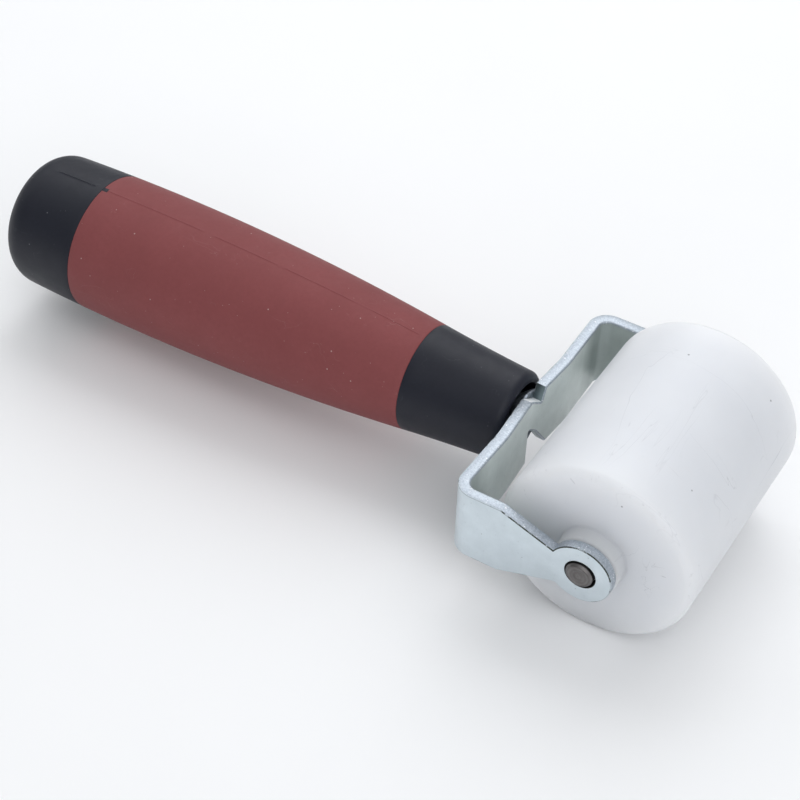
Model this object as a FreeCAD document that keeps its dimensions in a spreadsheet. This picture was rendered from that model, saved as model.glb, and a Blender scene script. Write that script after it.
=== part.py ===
"""Hand seam roller: a plastic roller on a steel pin, in a bent steel yoke, on a soft-grip handle.

World frame: the origin is the middle of the line where the roller touches the work, +X runs from
the handle towards the roller, +Y along the roller's axis and +Z up. Lengths are millimetres.
The yoke, the shank and the handle are drawn in a local frame on the roller's axis whose +X runs
back along the handle; their Placement turns them round and lifts them to the axis.
"""

import FreeCAD, Part
import math
import os

import Sketcher

doc = FreeCAD.newDocument("seam_roller")

SIZES = {
    # roller and its pin
    "roller_radius": 20.5,
    "roller_width": 51.0,
    "roller_edge": 1.8,
    "hub_radius": 6.9,
    "hub_length": 3.2,
    "hub_edge": 0.4,
    "hub_gap": 0.3,
    "pin_radius": 2.85,
    "pin_stand": 0.5,
    "pin_chamfer": 0.45,
    # yoke, bent from one strip
    "sheet": 2.4,
    "strip_height": 16.6,
    "strip_drop": 0.8,
    "web_clearance": 5.9,
    "web_crest": 0.5,
    "web_trough": 0.4,
    "crest_inset": 16.0,
    "crest_round": 24.0,
    "trough_round": 14.0,
    "bend_radius": 2.1,
    "taper_start": 17.5,
    "neck_height": 8.0,
    "neck_round": 2.0,
    "eye_radius": 6.7,
    "bore_clearance": 0.4,
    "bore_shift": 0.18,
    # notches in the web, upper and lower: places across the strip and depths from its edges
    "upper_lip": 1.9,
    "upper_root": 2.7,
    "upper_wall": 3.9,
    "upper_depth": 3.3,
    "lower_wall": 2.6,
    "lower_root": 1.2,
    "lower_lip": 5.6,
    "lower_depth": 9.3,
    "lower_shoulder": 6.2,
    "notch_round": 0.8,
    # shank, welded to the web and moulded into the handle
    "shank_radius": 4.0,
    "shank_length": 68.0,
    "shank_chamfer": 0.8,
    "weld_leg": 1.5,
    "weld_sink": 0.25,
    "grip_groove": 0.5,
    "groove_width": 2.0,
    "groove_pitch": 7.0,
    "groove_start": 14.0,
    # handle
    "handle_gap": 0.8,
    "handle_length": 125.0,
    "belly_radius": 15.9,
    "belly_setback": 31.0,
    "belly_arc": 640.0,
    "waist_arc": 450.0,
    "butt_round": 6.5,
    "lip_round": 1.5,
    "mouth_clearance": 2.3,
    "mouth_depth": 4.0,
    "nose_length": 22.6,
    "butt_length": 20.2,
    "sleeve_thickness": 2.2,
}
GROOVE_COUNT = 4
CUT_MARGIN = 1.0
FULL_TURN = 360.0

sheet_object = doc.addObject("Spreadsheet::Sheet", "Sizes")
for row, (alias, number) in enumerate(SIZES.items(), start=1):
    sheet_object.set(f"A{row}", alias)
    sheet_object.set(f"B{row}", str(number))
    sheet_object.setAlias(f"B{row}", alias)
doc.recompute()


class Size:
    """A length with both its value and the sheet formula that gives it."""

    def __init__(self, value, formula):
        self.value = value
        self.formula = formula

    def join(self, other, sign, value):
        formula = other.formula if isinstance(other, Size) else str(other)
        return Size(value, f"({self.formula} {sign} {formula})")

    def __add__(self, other):
        return self.join(other, "+", self.value + number_of(other))

    def __sub__(self, other):
        return self.join(other, "-", self.value - number_of(other))

    def __mul__(self, factor):
        return self.join(factor, "*", self.value * factor)

    def __truediv__(self, factor):
        return self.join(factor, "/", self.value / factor)

    def __neg__(self):
        return Size(-self.value, f"(-1 * {self.formula})")


def number_of(length):
    return length.value if isinstance(length, Size) else length


def size(alias):
    return Size(float(sheet_object.get(alias)), f"Sizes.{alias}")


def bind(target, path, length):
    target.setExpression(path, length.formula)


# ---------------------------------------------------------------- drawing helpers


def new_body(name, turned=False):
    body = doc.addObject("PartDesign::Body", name)
    body.Label = name
    half_turn = FreeCAD.Rotation(FreeCAD.Vector(0, 0, 1), FULL_TURN / 2 if turned else 0)
    body.Placement = FreeCAD.Placement(FreeCAD.Vector(0, 0, 0), half_turn)
    bind(body, ".Placement.Base.z", size("roller_radius"))
    return body


def new_sketch(body, name, plane_role):
    sketch = body.newObject("Sketcher::SketchObject", name)
    planes = [feature for feature in body.Origin.OriginFeatures if feature.Role == plane_role]
    sketch.AttachmentSupport = (planes[0], "")
    sketch.MapMode = "FlatFace"
    return sketch


def hold(sketch, kind, geometry, corner, length):
    """Hold one coordinate of a point: kind is DistanceX or DistanceY from the sketch's origin."""
    if not isinstance(length, Size):
        axis = -2 if kind == "DistanceX" else -1
        sketch.addConstraint(Sketcher.Constraint("PointOnObject", geometry, corner, axis))
        return
    ends = (-1, 1, geometry, corner)
    if length.value < 0:
        ends = (geometry, corner, -1, 1)
        length = -length
    index = sketch.addConstraint(Sketcher.Constraint(kind, *ends, length.value))
    bind(sketch, f"Constraints[{index}]", length)


def hold_point(sketch, geometry, corner, point):
    hold(sketch, "DistanceX", geometry, corner, point[0])
    hold(sketch, "DistanceY", geometry, corner, point[1])


def hold_radius(sketch, geometry, radius):
    index = sketch.addConstraint(Sketcher.Constraint("Radius", geometry, radius.value))
    bind(sketch, f"Constraints[{index}]", radius)


def join_ends(sketch, first, first_corner, second, second_corner):
    sketch.addConstraint(Sketcher.Constraint("Coincident", first, first_corner, second, second_corner))


def vector(point):
    return FreeCAD.Vector(number_of(point[0]), number_of(point[1]), 0)


def draw_line(sketch, start, end):
    return sketch.addGeometry(Part.LineSegment(vector(start), vector(end)), False)


def draw_polygon(sketch, points):
    """Closed polygon with every corner held by its two coordinates; 0 means on the axis.

    A point with a third length has its corner rounded to that radius.
    """
    lines = [draw_line(sketch, start, end) for start, end in zip(points, points[1:] + points[:1])]
    for index, line in enumerate(lines):
        join_ends(sketch, lines[index - 1], 2, line, 1)
    corners = list(lines)
    for index, point in enumerate(points):
        for radius in point[2:]:
            sketch.fillet(lines[index], 1, radius.value, True, True)
            corners[index] = len(sketch.Geometry) - 1
    for corner, point in zip(corners, points):
        hold_point(sketch, corner, 1, point)
        for radius in point[2:]:
            hold_radius(sketch, corner - 1, radius)


def draw_arc(sketch, centre, radius, start, end):
    """Arc that runs anticlockwise from start to end, two (x, y) pairs of numbers."""
    middle = vector(centre)
    turn = [math.atan2(y - middle.y, x - middle.x) for x, y in (start, end)]
    circle = Part.Circle(middle, FreeCAD.Vector(0, 0, 1), number_of(radius))
    return sketch.addGeometry(Part.ArcOfCircle(circle, *turn), False)


def draw_circle(sketch, centre, radius):
    circle = Part.Circle(vector(centre), FreeCAD.Vector(0, 0, 1), radius.value)
    index = sketch.addGeometry(circle, False)
    hold_point(sketch, index, 3, centre)
    hold_radius(sketch, index, radius)


def revolve(body, kind, name, sketch, axis="H_Axis"):
    """Full-turn Revolution or Groove about one of the sketch's axes."""
    feature = body.newObject(f"PartDesign::{kind}", name)
    feature.Profile = sketch
    feature.ReferenceAxis = (sketch, [axis])
    feature.Angle = FULL_TURN
    doc.recompute()
    return feature


def extrude_both_ways(body, kind, name, sketch, length):
    """Pad or Pocket centred on the sketch's plane, with its whole length given."""
    feature = body.newObject(f"PartDesign::{kind}", name)
    feature.Profile = sketch
    feature.SideType = "Symmetric"
    bind(feature, "Length", length)
    doc.recompute()
    return feature


def edge_names(shape, wanted):
    """Names of the edges whose middle point passes the test."""
    names = []
    for index, edge in enumerate(shape.Edges, start=1):
        middle = edge.valueAt((edge.FirstParameter + edge.LastParameter) / 2)
        if wanted(edge, middle):
            names.append(f"Edge{index}")
    return names


def dress(body, kind, name, amount, wanted):
    """Fillet or Chamfer of the edges that pass the test, on the body's newest feature."""
    base = body.Tip
    edges = edge_names(base.Shape, wanted)
    feature = body.newObject(f"PartDesign::{kind}", name)
    feature.Base = (base, edges)
    bind(feature, "Radius" if kind == "Fillet" else "Size", amount)
    doc.recompute()
    return feature


def near(number, length, slack=0.01):
    return abs(number - number_of(length)) < slack


# ---------------------------------------------------------------- shared places

hub_end = size("roller_width") / 2 + size("hub_length")
arm_inside = hub_end + size("hub_gap")
half_yoke = arm_inside + size("sheet")
strip_top = size("strip_height") / 2 - size("strip_drop")
strip_bottom = -(size("strip_height") / 2 + size("strip_drop"))
neck_top = size("neck_height") / 2 - size("strip_drop")
neck_bottom = -(size("neck_height") / 2 + size("strip_drop"))
web_back = size("roller_radius") + size("web_clearance") + size("sheet")
handle_front = web_back + size("web_trough") + size("handle_gap")
butt = handle_front + size("handle_length")
sleeve_front = handle_front + size("nose_length")
sleeve_back = butt - size("butt_length")
crest_place = arm_inside - size("crest_inset")
belly_centre = (butt - size("belly_setback"), size("belly_radius") - size("belly_arc"))


def belly_height(place, depth=0.0):
    """Radius of the handle's belly arc at a distance from the roller's axis, as a number."""
    radius = size("belly_arc").value - depth
    return belly_centre[1].value + math.sqrt(radius**2 - (place - belly_centre[0].value) ** 2)


# ---------------------------------------------------------------- roller


def make_roller():
    body = new_body("roller")
    sketch = new_sketch(body, "roller_profile", "XY_Plane")
    bore = size("pin_radius")
    hub = size("hub_radius")
    rim = size("roller_radius")
    face = size("roller_width") / 2
    draw_polygon(
        sketch,
        [
            (bore, -hub_end),
            (hub, -hub_end),
            (hub, -face),
            (rim, -face),
            (rim, face),
            (hub, face),
            (hub, hub_end),
            (bore, hub_end),
        ],
    )
    revolve(body, "Revolution", "roller_turning", sketch, "V_Axis")

    def is_rim(edge, middle):
        return near(abs(middle.y), face) and near(math.hypot(middle.x, middle.z), rim)

    def is_hub_end(edge, middle):
        return near(abs(middle.y), hub_end) and near(math.hypot(middle.x, middle.z), hub)

    dress(body, "Fillet", "rim_rounding", size("roller_edge"), is_rim)
    dress(body, "Fillet", "hub_rounding", size("hub_edge"), is_hub_end)
    return body


def make_axle_pin():
    body = new_body("axle_pin")
    sketch = new_sketch(body, "pin_section", "XZ_Plane")
    draw_circle(sketch, (0, 0), size("pin_radius"))
    half_length = half_yoke + size("pin_stand")
    extrude_both_ways(body, "Pad", "pin_bar", sketch, half_length * 2)

    def is_end(edge, middle):
        return near(abs(middle.y), half_length)

    dress(body, "Chamfer", "pin_chamfers", size("pin_chamfer"), is_end)
    return body


# ---------------------------------------------------------------- yoke


def draw_strip_plan(sketch):
    """Plan of the bent strip: two arms and a web with a crest in each half and a trough between."""
    thickness = size("sheet")
    back = web_back
    crest = back - size("web_crest")
    trough = back + size("web_trough")
    place = crest_place
    gentle = size("crest_round")
    dip = size("trough_round")
    tip = -size("eye_radius")
    draw_polygon(
        sketch,
        [
            (tip, half_yoke),
            (back, half_yoke),
            (crest, place, gentle),
            (trough, 0, dip),
            (crest, -place, gentle),
            (back, -half_yoke),
            (tip, -half_yoke),
            (tip, -arm_inside),
            (back - thickness, -arm_inside),
            (crest - thickness, -place, gentle),
            (trough - thickness, 0, dip),
            (crest - thickness, place, gentle),
            (back - thickness, arm_inside),
            (tip, arm_inside),
        ],
    )


def draw_arm_waste(sketch):
    """What is cut off the arms: all that lies outside the taper, the neck and the round eye."""
    start = size("taper_start")
    ahead = -(size("eye_radius") + CUT_MARGIN)
    above = strip_top + CUT_MARGIN
    below = strip_bottom - CUT_MARGIN
    reach = size("eye_radius").value
    upper_end = (math.sqrt(reach**2 - neck_top.value**2), neck_top.value)
    lower_end = (math.sqrt(reach**2 - neck_bottom.value**2), neck_bottom.value)
    corners = [
        (start, strip_bottom),
        (start, below),
        (ahead, below),
        (ahead, above),
        (start, above),
        (start, strip_top),
    ]
    eye = draw_arc(sketch, (0, 0), size("eye_radius"), upper_end, lower_end)
    hold_point(sketch, eye, 3, (0, 0))
    hold_radius(sketch, eye, size("eye_radius"))
    hold(sketch, "DistanceY", eye, 1, neck_top)
    hold(sketch, "DistanceY", eye, 2, neck_bottom)
    route = [draw_line(sketch, lower_end, corners[0])]
    route += [draw_line(sketch, first, second) for first, second in zip(corners, corners[1:])]
    route.append(draw_line(sketch, corners[-1], upper_end))
    join_ends(sketch, eye, 2, route[0], 1)
    for index, corner in enumerate(corners):
        join_ends(sketch, route[index], 2, route[index + 1], 1)
        hold_point(sketch, route[index], 2, corner)
    join_ends(sketch, route[-1], 2, eye, 1)


def draw_upper_notch(sketch):
    """Upper notch: one flank slants down to the root, the other stands steep."""
    above = strip_top + CUT_MARGIN
    corner = size("notch_round")
    draw_polygon(
        sketch,
        [
            (size("upper_lip"), above),
            (size("upper_lip"), strip_top),
            (-size("upper_root"), strip_top - size("upper_depth"), corner),
            (-size("upper_wall"), strip_top),
            (-size("upper_wall"), above),
        ],
    )


def draw_lower_notch(sketch):
    """Lower notch: an upright wall, a slanting head and a steep wall on the other side."""
    below = strip_bottom - CUT_MARGIN
    corner = size("notch_round")
    draw_polygon(
        sketch,
        [
            (-size("lower_lip"), below),
            (-size("lower_lip"), strip_bottom),
            (-size("lower_root"), strip_bottom + size("lower_shoulder"), corner),
            (size("lower_wall"), strip_bottom + size("lower_depth"), corner),
            (size("lower_wall"), below),
        ],
    )


def make_yoke():
    body = new_body("yoke", turned=True)
    plan = new_sketch(body, "strip_plan", "XY_Plane")
    bind(plan, ".AttachmentOffset.Base.z", -size("strip_drop"))
    draw_strip_plan(plan)
    extrude_both_ways(body, "Pad", "strip", plan, size("strip_height"))

    def is_upright(edge, x, y):
        middle = edge.valueAt((edge.FirstParameter + edge.LastParameter) / 2)
        return edge.BoundBox.ZLength > size("sheet").value and near(middle.x, x) and near(abs(middle.y), y)

    def is_bend_inside(edge, middle):
        return is_upright(edge, web_back - size("sheet"), arm_inside)

    def is_bend_outside(edge, middle):
        return is_upright(edge, web_back, half_yoke)

    dress(body, "Fillet", "bends_inside", size("bend_radius"), is_bend_inside)
    dress(body, "Fillet", "bends_outside", size("bend_radius") + size("sheet"), is_bend_outside)

    through = half_yoke * 2 + CUT_MARGIN
    waste = new_sketch(body, "arm_waste", "XZ_Plane")
    draw_arm_waste(waste)
    extrude_both_ways(body, "Pocket", "arm_shaping", waste, through)

    def is_lower_neck(edge, middle):
        return near(edge.BoundBox.YLength, size("sheet")) and near(middle.z, neck_bottom)

    dress(body, "Fillet", "neck_rounding", size("neck_round"), is_lower_neck)

    bores = new_sketch(body, "eye_bores", "XZ_Plane")
    bore_radius = size("pin_radius") + size("bore_clearance")
    draw_circle(bores, (-size("bore_shift"), size("bore_shift")), bore_radius)
    extrude_both_ways(body, "Pocket", "eye_bore_cut", bores, through)

    notches = new_sketch(body, "web_notches", "YZ_Plane")
    draw_upper_notch(notches)
    draw_lower_notch(notches)
    extrude_both_ways(body, "Pocket", "notch_cut", notches, (web_back + size("sheet")) * 2)
    return body


# ---------------------------------------------------------------- shank


def make_shank():
    body = new_body("shank", turned=True)
    sketch = new_sketch(body, "shank_profile", "XY_Plane")
    front = web_back + size("web_trough") - size("weld_sink")
    end = handle_front + size("shank_length")
    radius = size("shank_radius")
    chamfer = size("shank_chamfer")
    leg = size("weld_leg")
    draw_polygon(
        sketch,
        [
            (front, 0),
            (front, radius + leg),
            (front + leg, radius),
            (end - chamfer, radius),
            (end, radius - chamfer),
            (end, 0),
        ],
    )
    revolve(body, "Revolution", "shank_bar", sketch)
    groove = new_sketch(body, "groove_profile", "XY_Plane")
    start = handle_front + size("groove_start")
    floor = radius - size("grip_groove")
    outside = radius + CUT_MARGIN
    stop = start + size("groove_width")
    draw_polygon(groove, [(start, floor), (stop, floor), (stop, outside), (start, outside)])
    first = revolve(body, "Groove", "first_groove", groove)
    pattern = body.newObject("PartDesign::LinearPattern", "grip_grooves")
    pattern.Originals = [first]
    pattern.Direction = (groove, ["H_Axis"])
    pattern.Mode = "Spacing"
    bind(pattern, "Offset", size("groove_pitch"))
    pattern.Occurrences = GROOVE_COUNT
    body.Tip = pattern
    doc.recompute()
    return body


# ---------------------------------------------------------------- handle


def draw_belly_arc(sketch, depth=None):
    """Arc of the belly between the sleeve's ends, lower by depth; returns its index."""
    drop = number_of(depth) if depth else 0.0
    places = (sleeve_back.value, sleeve_front.value)
    ends = [(place, belly_height(place, drop)) for place in places]
    radius = size("belly_arc") - depth if depth else size("belly_arc")
    arc = draw_arc(sketch, belly_centre, radius, *ends)
    hold_point(sketch, arc, 3, belly_centre)
    hold_radius(sketch, arc, radius)
    return arc


def draw_handle_outline(sketch):
    """Half outline of the whole handle: front face, concave waist, belly, butt and the axis."""
    blend = (sleeve_front.value, belly_height(sleeve_front.value))
    rim = (butt.value, belly_height(butt.value))
    ratio = size("waist_arc").value / size("belly_arc").value
    waist_centre = (
        blend[0] + (blend[0] - belly_centre[0].value) * ratio,
        blend[1] + (blend[1] - belly_centre[1].value) * ratio,
    )
    half_chord = waist_centre[0] - handle_front.value
    reach = math.sqrt(size("waist_arc").value ** 2 - half_chord**2)
    lip = (handle_front.value, waist_centre[1] - reach)
    front_face = draw_line(sketch, (handle_front, 0), lip)
    waist = draw_arc(sketch, waist_centre, size("waist_arc"), lip, blend)
    belly = draw_arc(sketch, belly_centre, size("belly_arc"), rim, blend)
    butt_face = draw_line(sketch, rim, (butt, 0))
    axis = draw_line(sketch, (butt, 0), (handle_front, 0))
    hold_point(sketch, front_face, 1, (handle_front, 0))
    hold_point(sketch, butt_face, 2, (butt, 0))
    sketch.addConstraint(Sketcher.Constraint("Vertical", front_face))
    sketch.addConstraint(Sketcher.Constraint("Vertical", butt_face))
    join_ends(sketch, front_face, 2, waist, 1)
    join_ends(sketch, belly, 1, butt_face, 1)
    join_ends(sketch, butt_face, 2, axis, 1)
    join_ends(sketch, axis, 2, front_face, 1)
    hold_point(sketch, belly, 3, belly_centre)
    hold_radius(sketch, belly, size("belly_arc"))
    hold_radius(sketch, waist, size("waist_arc"))
    hold(sketch, "DistanceX", belly, 2, sleeve_front)
    sketch.addConstraint(Sketcher.Constraint("Tangent", waist, 2, belly, 2))


def make_handle_core():
    body = new_body("handle_core", turned=True)
    outline = new_sketch(body, "handle_outline", "XY_Plane")
    draw_handle_outline(outline)
    revolve(body, "Revolution", "handle_blank", outline)

    def is_butt_rim(edge, middle):
        return near(edge.BoundBox.XMin, butt) and near(edge.BoundBox.XMax, butt)

    def is_lip(edge, middle):
        return near(edge.BoundBox.XMin, handle_front) and near(edge.BoundBox.XMax, handle_front)

    dress(body, "Fillet", "butt_rounding", size("butt_round"), is_butt_rim)
    dress(body, "Fillet", "lip_rounding", size("lip_round"), is_lip)

    seat = new_sketch(body, "sleeve_seat", "XY_Plane")
    floor = draw_belly_arc(seat, size("sleeve_thickness"))
    outside = size("belly_radius") + CUT_MARGIN
    ends = [(sleeve_back, outside), (sleeve_front, outside)]
    back_wall = draw_line(seat, (ends[0][0], size("belly_radius")), ends[0])
    lid = draw_line(seat, ends[0], ends[1])
    front_wall = draw_line(seat, ends[1], (ends[1][0], size("belly_radius")))
    join_ends(seat, floor, 1, back_wall, 1)
    join_ends(seat, back_wall, 2, lid, 1)
    join_ends(seat, lid, 2, front_wall, 1)
    join_ends(seat, front_wall, 2, floor, 2)
    hold_point(seat, back_wall, 2, ends[0])
    hold_point(seat, lid, 2, ends[1])
    seat.addConstraint(Sketcher.Constraint("Vertical", back_wall))
    seat.addConstraint(Sketcher.Constraint("Vertical", front_wall))
    revolve(body, "Groove", "sleeve_seat_cut", seat)

    socket = new_sketch(body, "shank_socket", "XY_Plane")
    ahead = handle_front - CUT_MARGIN
    shoulder = handle_front + size("mouth_depth")
    end = handle_front + size("shank_length")
    mouth = size("shank_radius") + size("weld_leg") + size("mouth_clearance")
    bore = size("shank_radius")
    draw_polygon(
        socket,
        [(ahead, 0), (ahead, mouth), (shoulder, mouth), (shoulder, bore), (end, bore), (end, 0)],
    )
    revolve(body, "Groove", "shank_socket_cut", socket)
    return body


def make_grip_sleeve():
    body = new_body("grip_sleeve", turned=True)
    sketch = new_sketch(body, "sleeve_section", "XY_Plane")
    inner = draw_belly_arc(sketch, size("sleeve_thickness"))
    outer = draw_belly_arc(sketch)
    for corner, place in ((1, sleeve_back), (2, sleeve_front)):
        low = (place, belly_height(place.value, size("sleeve_thickness").value))
        high = (place, belly_height(place.value))
        wall = draw_line(sketch, low, high)
        join_ends(sketch, wall, 1, inner, corner)
        join_ends(sketch, wall, 2, outer, corner)
        sketch.addConstraint(Sketcher.Constraint("Vertical", wall))
        hold(sketch, "DistanceX", wall, 1, place)
    revolve(body, "Revolution", "sleeve_ring", sketch)
    return body


# ---------------------------------------------------------------- build, check and write

parts = [
    make_roller(),
    make_axle_pin(),
    make_yoke(),
    make_shank(),
    make_handle_core(),
    make_grip_sleeve(),
]
doc.recompute()

for item in doc.Objects:
    if "Invalid" in item.State or "Error" in item.State:
        raise RuntimeError(f"{item.Name} failed: {item.State}")
for part in parts:
    if part.Shape.isNull() or not part.Shape.isValid():
        raise RuntimeError(f"{part.Label} has no valid shape")
    if len(part.Shape.Solids) != 1:
        raise RuntimeError(f"{part.Label} has {len(part.Shape.Solids)} solids")

os.makedirs("parts", exist_ok=True)
for part in parts:
    part.Shape.exportStep(f"parts/{part.Label}.step")
    box = part.Shape.BoundBox
    print(f"{part.Label}: {part.Shape.Volume:.0f} mm3, x {box.XMin:.2f} to {box.XMax:.2f},"
          f" y {box.YMin:.2f} to {box.YMax:.2f}, z {box.ZMin:.2f} to {box.ZMax:.2f}")
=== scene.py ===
"""Looks of the hand seam roller: milky roller, zinc-plated yoke, two-colour moulded grip."""

import math

import bmesh
import bpy
from mathutils import Matrix, Vector, noise


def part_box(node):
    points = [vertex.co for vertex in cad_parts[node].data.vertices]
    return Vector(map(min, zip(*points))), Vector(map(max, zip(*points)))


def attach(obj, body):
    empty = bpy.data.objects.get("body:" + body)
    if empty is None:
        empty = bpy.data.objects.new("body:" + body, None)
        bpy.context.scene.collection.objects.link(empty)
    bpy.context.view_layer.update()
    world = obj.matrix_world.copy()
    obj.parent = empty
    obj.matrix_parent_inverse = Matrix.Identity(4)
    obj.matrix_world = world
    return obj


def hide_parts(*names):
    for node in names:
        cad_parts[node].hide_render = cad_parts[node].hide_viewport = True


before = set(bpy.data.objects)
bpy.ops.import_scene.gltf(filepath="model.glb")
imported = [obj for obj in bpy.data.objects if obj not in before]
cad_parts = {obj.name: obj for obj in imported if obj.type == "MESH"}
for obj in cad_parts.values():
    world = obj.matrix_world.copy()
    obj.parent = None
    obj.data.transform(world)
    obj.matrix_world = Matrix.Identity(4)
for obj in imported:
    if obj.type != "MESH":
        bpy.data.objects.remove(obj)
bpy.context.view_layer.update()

MM = 0.001
MERGE_DISTANCE = 0.001 * MM  # points closer than this are merged
AXIS_HEIGHT = sum(corner.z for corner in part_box("roller")) / 2
AXIS = Vector((0, 0, AXIS_HEIGHT))


# ---------------------------------------------------------------- node helpers


class Finish:
    """A material under construction: one Principled shader and the nodes that feed it."""

    def __init__(self, name, **settings):
        self.material = bpy.data.materials.new(name)
        self.material.use_nodes = True
        self.tree = self.material.node_tree
        self.tree.nodes.clear()
        self.shader = self.add("ShaderNodeBsdfPrincipled")
        output = self.add("ShaderNodeOutputMaterial")
        self.tree.links.new(self.shader.outputs[0], output.inputs["Surface"])
        for socket, value in settings.items():
            self.shader.inputs[socket.replace("_", " ")].default_value = value

    def add(self, kind, **settings):
        node = self.tree.nodes.new(kind)
        for name, value in settings.items():
            setattr(node, name, value)
        return node

    def feed(self, socket, value):
        """Give a socket a constant, or link it to another node's output."""
        if isinstance(value, bpy.types.NodeSocket):
            self.tree.links.new(value, socket)
        else:
            socket.default_value = value

    def place(self, centre=(0, 0, 0), stretch=(1, 1, 1)):
        """Object coordinates in millimetres about a centre, each axis divided by its stretch."""
        coordinates = self.add("ShaderNodeTexCoord")
        mapping = self.add("ShaderNodeMapping", vector_type="TEXTURE")
        self.feed(mapping.inputs["Vector"], coordinates.outputs["Object"])
        mapping.inputs["Location"].default_value = centre
        mapping.inputs["Scale"].default_value = [MM * length for length in stretch]
        return mapping.outputs["Vector"]

    def noise(self, place, size, detail=2.0, roughness=0.5, distortion=0.0):
        """Noise whose features are about size millimetres across."""
        node = self.add("ShaderNodeTexNoise")
        self.feed(node.inputs["Vector"], place)
        node.inputs["Scale"].default_value = 1 / size
        node.inputs["Detail"].default_value = detail
        node.inputs["Roughness"].default_value = roughness
        node.inputs["Distortion"].default_value = distortion
        return node.outputs["Fac"]

    def cells(self, place, size, output="Distance"):
        """Cells about size millimetres across: distance from their middles, or their colours."""
        node = self.add("ShaderNodeTexVoronoi")
        self.feed(node.inputs["Vector"], place)
        node.inputs["Scale"].default_value = 1 / size
        return node.outputs[output]

    def steps(self, value, *stops):
        """Map a value through (position, grey) stops, joined by straight lines."""
        ramp = self.add("ShaderNodeValToRGB")
        self.feed(ramp.inputs["Fac"], value)
        elements = ramp.color_ramp.elements
        while len(elements) < len(stops):
            elements.new(0.5)
        for element, (position, tone) in zip(elements, stops):
            element.position = position
            element.color = (tone, tone, tone, 1)
        return ramp.outputs["Color"]

    def rise(self, length, start, end, span):
        """Mask that climbs from 0 to 1 between two lengths in millimetres, both under span."""
        return self.steps(self.math("DIVIDE", length, span), (start / span, 0), (end / span, 1))

    def math(self, operation, first, second=0.5, third=0.5):
        node = self.add("ShaderNodeMath", operation=operation)
        for socket, value in zip(node.inputs, (first, second, third)):
            self.feed(socket, value)
        return node.outputs[0]

    def axis(self, place, letter):
        """One coordinate of a place."""
        node = self.add("ShaderNodeSeparateXYZ")
        self.feed(node.inputs[0], place)
        return node.outputs[letter]

    def reach(self, place, keep):
        """Distance from the centre, counting only the axes that keep names with 1."""
        flat = self.add("ShaderNodeVectorMath", operation="MULTIPLY")
        self.feed(flat.inputs[0], place)
        flat.inputs[1].default_value = keep
        length = self.add("ShaderNodeVectorMath", operation="LENGTH")
        self.feed(length.inputs[0], flat.outputs[0])
        return length.outputs["Value"]

    def blend(self, share, first, second):
        """Colour between first and second, each a colour or a socket."""
        mix = self.add("ShaderNodeMix", data_type="RGBA")
        self.feed(mix.inputs["Factor"], share)
        colour_inputs = [socket for socket in mix.inputs if socket.type == "RGBA"]
        for socket, value in zip(colour_inputs, (first, second)):
            if isinstance(value, tuple):
                value = (*value, 1)
            self.feed(socket, value)
        return next(socket for socket in mix.outputs if socket.type == "RGBA")

    def colour(self, value):
        self.feed(self.shader.inputs["Base Color"], value)

    def gloss(self, value, low, high):
        """Roughness that runs from low to high as value runs from 0 to 1."""
        spread = self.add("ShaderNodeMapRange")
        self.feed(spread.inputs["Value"], value)
        spread.inputs["To Min"].default_value = low
        spread.inputs["To Max"].default_value = high
        self.feed(self.shader.inputs["Roughness"], spread.outputs["Result"])

    def relief(self, *layers):
        """Stack bumps, each (height socket, depth in millimetres, strength)."""
        normal = None
        for height, depth, strength in layers:
            bump = self.add("ShaderNodeBump")
            self.feed(bump.inputs["Height"], height)
            bump.inputs["Distance"].default_value = depth * MM
            bump.inputs["Strength"].default_value = strength
            if normal:
                self.feed(bump.inputs["Normal"], normal)
            normal = bump.outputs["Normal"]
        self.feed(self.shader.inputs["Normal"], normal)


# ---------------------------------------------------------------- finishes

MILK_SHADE = (0.7, 0.715, 0.745)
MILK = (0.77, 0.785, 0.81)
SCRATCH_GREY = (0.36, 0.37, 0.4)
SCUFF_GREY = (0.42, 0.42, 0.44)
DIRT = (0.2, 0.2, 0.21)
ZINC_SPOT = (0.3, 0.34, 0.36)
# colour of the painted shade near the yoke's bends
ZINC_BEND_SHADE = (0.2, 0.25, 0.24)
ZINC_PIT = (0.2, 0.22, 0.23)
# white used for painted glints and painted highlights on the yoke's cut metal
PAINTED_GLINT_WHITE = (1.0, 1.0, 1.0)


def specks(finish, place, cell, radius, share):
    """Mask of round specks, one in a share of the cells; their radius is a share of a cell."""
    dots = finish.steps(finish.cells(place, cell), (radius * 0.6, 1), (radius, 0))
    draw = finish.axis(finish.cells(place, cell, "Color"), "X")
    chosen = finish.steps(draw, (1 - share, 0), (1.01 - share, 1))
    return finish.math("MULTIPLY", dots, chosen)


def scratches(finish, place, size, width, patch):
    """Mask of fine broken lines: the mid level of a stretched noise, kept in patches."""
    field = finish.noise(place, size, detail=3.0, distortion=0.6)
    line = finish.steps(field, (0.5 - width, 0), (0.5, 1), (0.5 + width, 0))
    kept = finish.steps(finish.noise(place, patch, detail=1.0), (0.56, 0), (0.68, 1))
    return finish.math("MULTIPLY", line, kept)


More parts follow.
